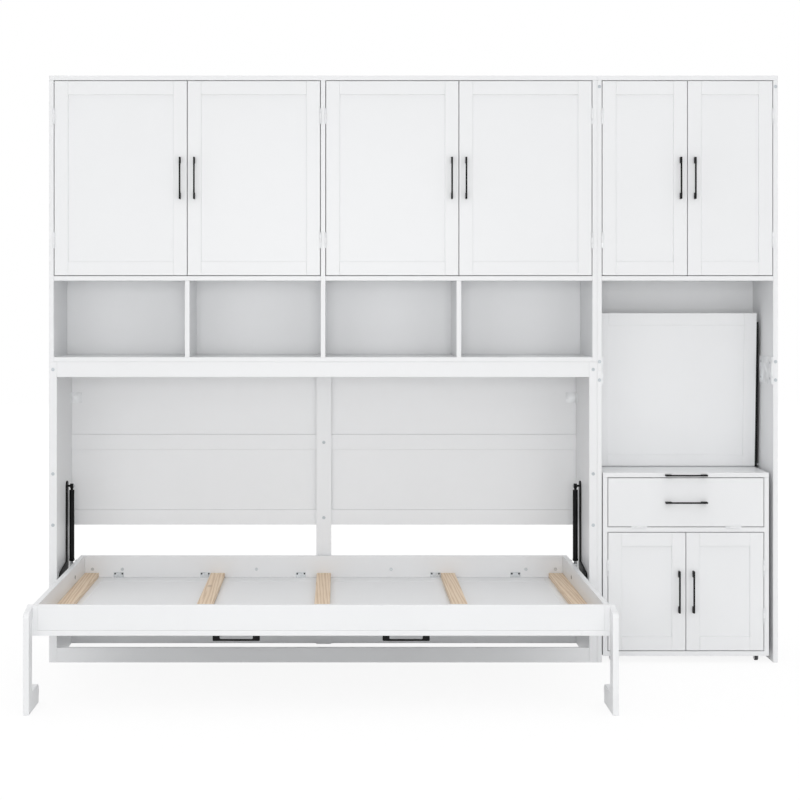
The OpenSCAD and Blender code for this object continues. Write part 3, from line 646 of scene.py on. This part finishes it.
def lift_trim():
    """Clips on the struts' upper pins, and a gland ring at the mouth of each strut's body."""
    bore, rim, thick, chamfer = 4.2 * MM, 7.4 * MM, 1.8 * MM, 0.4 * MM
    clip = [(bore, 0), (rim - chamfer, 0), (rim, chamfer), (rim, thick - chamfer), (rim - chamfer, thick),
            (bore, thick)]
    clip_in = 6.6 * MM          # middle of the strut's eye to the clip
    tube, lip, tall = 10.1 * MM, 11 * MM, 8 * MM
    gland = [(tube, 0), (lip, 0.5 * MM), (lip, tall - 1 * MM), (tube, tall)]
    gland_up = 1 * MM           # end of the strut's body to the gland
    clips = []
    for side in ("left", "right"):
        low, high = corners_of(side + "_strut_body")
        middle = (low + high) / 2
        inwards = X if side == "left" else -X
        pin = np.array(JOINTS[side + "_strut_swing"]["pos_m"])
        clips.append(turned(clip, pin + inwards * clip_in, (Y, Z, inwards), 24, ring=True))
        ring = turned(gland, (middle[0], middle[1], low[2] + gland_up), (X, Y, Z), 32, ring=True)
        made(side + "_strut_gland", [ring], side + "_strut_body", "black_metal")
    made("strut_clips", clips, "cabinet", "bright_steel")


# ---------------------------------------------------------------- casters

def casters():
    """Twin-shouldered wheels: a tread with sloped shoulders, dished sides and a hub round the bore."""
    bore, hub, slope = 2.6 * MM, 4.6 * MM, 0.6 * MM
    dish = 1.4 * MM                     # depth of the dished sides
    rim_in, rim_out = 3 * MM, 2 * MM    # tread to the foot and to the top of the dish's edge
    shoulder_r, shoulder_w = 0.7 * MM, 1.5 * MM
    for node in ("front_casters", "rear_casters"):
        wheels = []
        for low, high in solids(node):
            half, radius = (high[0] - low[0]) / 2, (high[2] - low[2]) / 2
            side = [(bore, half), (hub, half), (hub + slope, half - dish), (radius - rim_in, half - dish),
                    (radius - rim_out, half), (radius - shoulder_r, half), (radius, half - shoulder_w)]
            profile = [(r, -x) for r, x in side] + side[::-1]
            wheels.append(turned(profile, (low + high) / 2, (Y, Z, X), 40, ring=True))
        dress(node, wheels)


# ---------------------------------------------------------------- scene

def photo_camera():
    """A camera at the photograph's place, with its frame shifted to the photograph's."""
    photo_px = 800
    vanishing_px = (338, 292.5)     # where lines into the room meet in the photograph
    focal_px = 1594.6
    aside, away, above = -0.288, 6.086, 1.412       # from the middle, the cabinet's front and the floor
    front = float(corners_of("bay_sides")[0][1])
    lens = bpy.data.cameras.new("camera")
    lens.sensor_width = 36
    lens.lens = focal_px / photo_px * lens.sensor_width
    lens.shift_x = (photo_px / 2 - vanishing_px[0]) / photo_px
    lens.shift_y = (vanishing_px[1] - photo_px / 2) / photo_px
    camera = bpy.data.objects.new("camera", lens)
    camera.location = (aside, front - away, above)
    camera.rotation_euler = (math.radians(90), 0, 0)
    bpy.context.scene.collection.objects.link(camera)
    bpy.context.scene.camera = camera
    bpy.context.scene.view_settings.view_transform = "Standard"


# Each soft lamp's name, its place, the point that it faces, its side in metres and its power in watts
LAMPS = (("front", (-0.3, -9.0, 1.5), (0, 0.3, 1.0), 3.0, 165),
         ("left", (-3.4, -5.0, 2.2), (0, 0.2, 0.9), 2.6, 22),
         ("right", (3.2, -5.0, 2.2), (0, 0.2, 0.9), 2.6, 20))


def lamps():
    for name, place, target, size, power in LAMPS:
        lamp = bpy.data.lights.new(name, "AREA")
        lamp.size = size
        lamp.energy = power
        holder = bpy.data.objects.new(name, lamp)
        holder.location = place
        aim = np.array(target) - np.array(place)
        holder.rotation_euler = Vector(aim).to_track_quat("-Z", "Y").to_euler()
        bpy.context.scene.collection.objects.link(holder)


def looked_at(tree):
    """1 where the camera or a gloss looks at the surface, and 0 for the light that it sends on."""
    path = add_node(tree, "ShaderNodeLightPath").outputs
    rays = {0: path["Is Camera Ray"], 1: path["Is Glossy Ray"]}
    return add_node(tree, "ShaderNodeMath", rays, operation="MAXIMUM").outputs[0]


def surround():
    """A white world where it is looked at. The light that it sends grows from the horizon to the zenith."""
    horizon, zenith = 0.2, 1.3
    world = bpy.data.worlds.new("surround")
    bpy.context.scene.world = world
    world.use_nodes = True
    tree = world.node_tree
    direction = add_node(tree, "ShaderNodeTexCoord").outputs["Generated"]
    upwards = add_node(tree, "ShaderNodeSeparateXYZ", {0: direction}).outputs["Z"]
    sky = ranged(tree, upwards, 0.0, 1.0, horizon, zenith)
    background = tree.nodes["Background"]
    background.inputs["Color"].default_value = (1, 1, 1, 1)
    tree.links.new(ranged(tree, looked_at(tree), 0.0, 1.0, sky, 1.0), background.inputs["Strength"])


def pale_floor():
    """A white floor that keeps a soft shadow: mostly an even white to the camera, the rest a matt reflection.
    The share of the even white rises with the distance from the middle, so that no horizon shows."""
    near, far = 1.4, 3.6
    share_near, share_far = 0.86, 1.0
    material = bpy.data.materials.new("pale_floor")
    material.use_nodes = True
    tree = material.node_tree
    matt = tree.nodes["Principled BSDF"]
    matt.inputs["Base Color"].default_value = (0.86, 0.86, 0.86, 1)
    matt.inputs["Roughness"].default_value = 0.9
    matt.inputs["Specular IOR Level"].default_value = 0.1
    even = add_node(tree, "ShaderNodeEmission", {"Strength": 1.03}).outputs[0]
    place = add_node(tree, "ShaderNodeTexCoord").outputs["Object"]
    distance = add_node(tree, "ShaderNodeVectorMath", {0: place}, operation="LENGTH").outputs["Value"]
    rise = ranged(tree, distance, near, far, share_near, share_far)
    share = add_node(tree, "ShaderNodeMath", {0: looked_at(tree), 1: rise}, operation="MULTIPLY").outputs[0]
    blend = add_node(tree, "ShaderNodeMixShader", {0: share, 1: matt.outputs[0], 2: even}).outputs[0]
    tree.links.new(blend, tree.nodes["Material Output"].inputs["Surface"])
    return material


def floor():
    """A wide floor, half a millimetre below the feet."""
    wide = 14.0
    mesh = bpy.data.meshes.new("floor")
    mesh.from_pydata([(x, y, 0) for x, y in rectangle(-wide, wide, -wide, wide)], [], [(0, 1, 2, 3)])
    ground = bpy.data.objects.new("floor", mesh)
    ground.location = (0, 0, -0.0005)
    bpy.context.scene.collection.objects.link(ground)
    ground.data.materials.append(pale_floor())


# ---------------------------------------------------------------- the whole piece

# Nodes that keep their own solid, with the radius of their arrises. The black desk_leaf_channel fills the gap at
# the desk leaf's right edge and stands in for the shade deep in that gap: a dark piece put where shade falls,
# painted shade.
EASED_NODES = (("bay_back_frame", EASE), ("trolley_case", EASE), ("bed_side_boards", EASE),
               ("left_leg", 1.6 * MM), ("right_leg", 1.6 * MM), ("lift_brackets", 0.6 * MM),
               ("bed_lift_plates", 0.6 * MM), ("desk_leaf_channel", 0.6 * MM))


def keep_cad_pieces():
    """Nodes whose shape is right keep their own mesh and take their finish."""
    for node, solid in NODES.items():
        if solid.hide_render:
            continue
        solid.data.materials.clear()
        solid.data.materials.append(FINISHES[SLOT_OF[node]])


photo_camera()
lamps()
surround()
floor()
plain_boards()
joining_screws(*tower_sides())
caps()
for number in range(1, 5):
    cupboard_door(f"hutch_door_{number}", f"hutch_door_{number}_swing")
for number in (1, 2):
    cupboard_door(f"tower_door_{number}", f"tower_door_{number}_swing")
for hand in ("left", "right"):
    cupboard_door(f"trolley_door_{hand}", f"trolley_door_{hand}_swing")
drop_flap()
desk_leaf()
handles()
bed_base()
bed_plate_screws()
lift_trim()
casters()
for eased_node, arris in EASED_NODES:
    dress_eased(eased_node, arris)
keep_cad_pieces()
